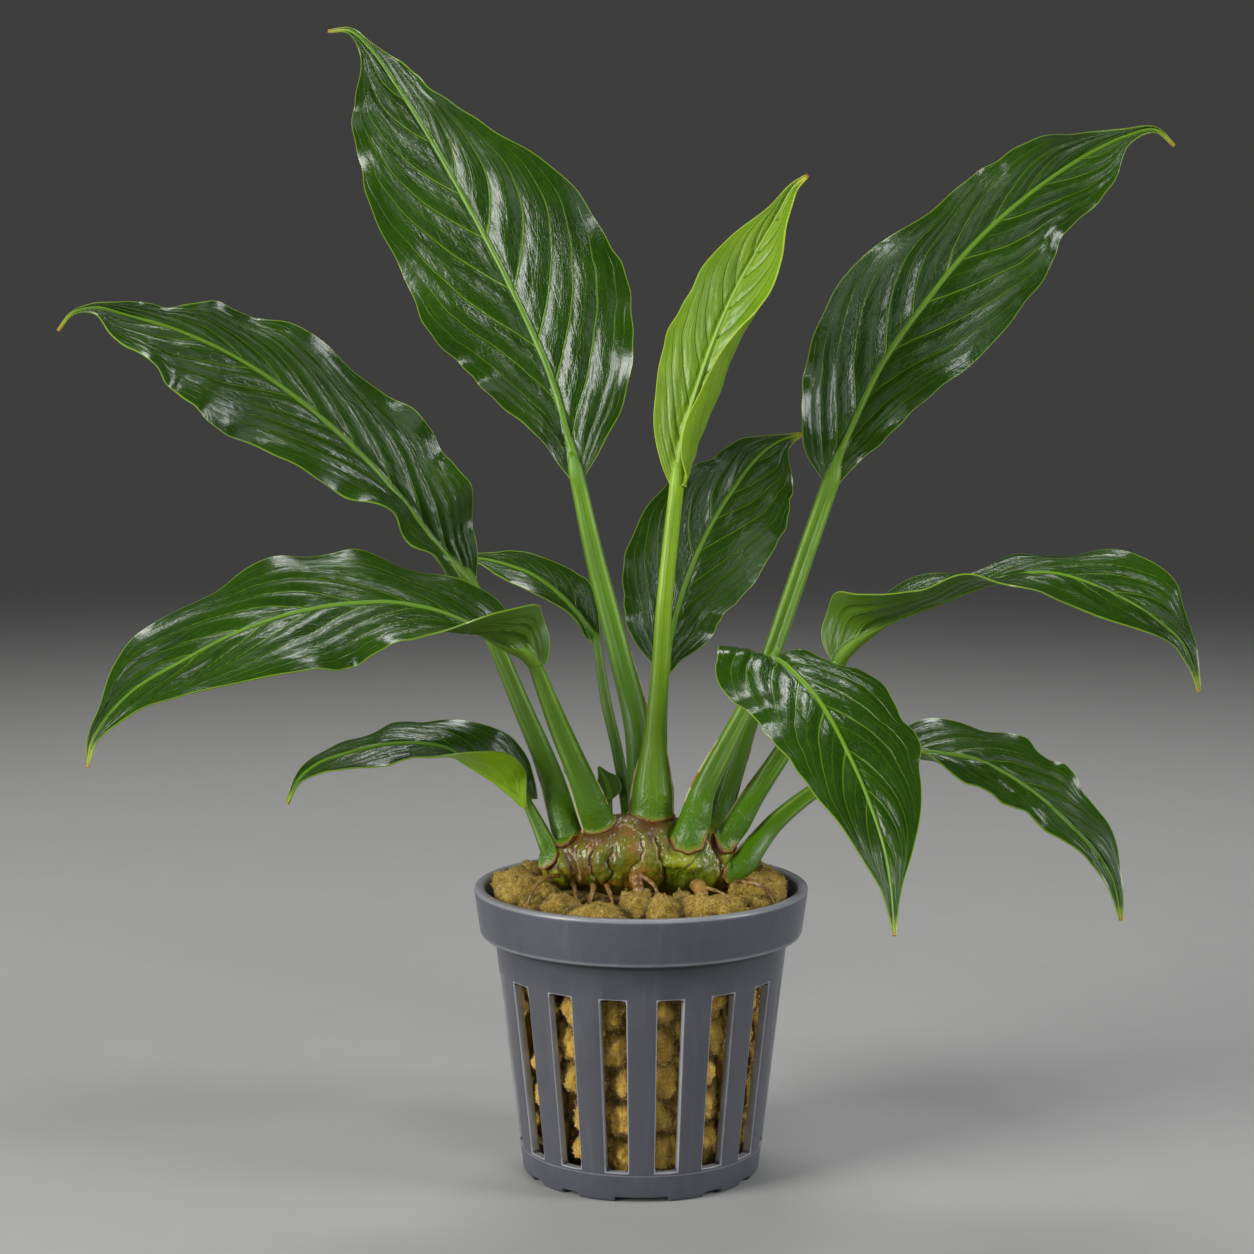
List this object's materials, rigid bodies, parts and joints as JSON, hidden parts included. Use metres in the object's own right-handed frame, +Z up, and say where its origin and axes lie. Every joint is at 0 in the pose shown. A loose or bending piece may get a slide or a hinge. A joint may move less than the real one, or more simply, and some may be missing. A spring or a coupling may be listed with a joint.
{
  "type": "potted aquarium plant",
  "caption": "Broad-leaved aquarium plant with a creeping stem, rooted on mineral wool in a small slotted nursery pot.",
  "frame": {"origin": "centre of the pot's underside", "axes": "+Z up along the pot's axis, -Y toward the front of the plant, +X to its right"},
  "size_m": [0.1735, 0.0837, 0.1796],
  "materials": {
    "pot": "satin",
    "wool": "matte",
    "rhizome": "gloss",
    "root": "satin",
    "stalk": "gloss",
    "leaf": "gloss",
    "young_leaf": "satin"
  },
  "bodies": {
    "root": {"net_pot": "pot", "rock_wool": "wool", "rhizome": "rhizome", "stalk_young": "stalk", "stalk_front_left": "stalk", "stalk_front_right": "stalk", "stalk_right_arch": "stalk", "stalk_upper_left": "stalk", "stalk_tall_left": "stalk", "stalk_tall_right": "stalk", "stalk_low_right": "stalk", "stalk_low_left": "stalk", "stalk_small_back": "stalk", "stalk_back_right": "stalk", "stalk_base_shoot": "stalk", "blade_young": "young_leaf", "blade_front_left": "leaf", "blade_front_right": "leaf", "blade_right_arch": "leaf", "blade_upper_left": "leaf", "blade_tall_left": "leaf", "blade_tall_right": "leaf", "blade_low_right": "leaf", "blade_low_left": "leaf", "blade_small_back": "leaf", "blade_back_right": "leaf", "blade_base_shoot": "leaf", "root_far_left": "root", "root_left": "root", "root_left_short": "root", "root_ring": "root", "root_mid": "root", "root_centre": "root", "root_thick": "root", "root_right": "root", "root_right_thin": "root"}
  },
  "joints": []
}
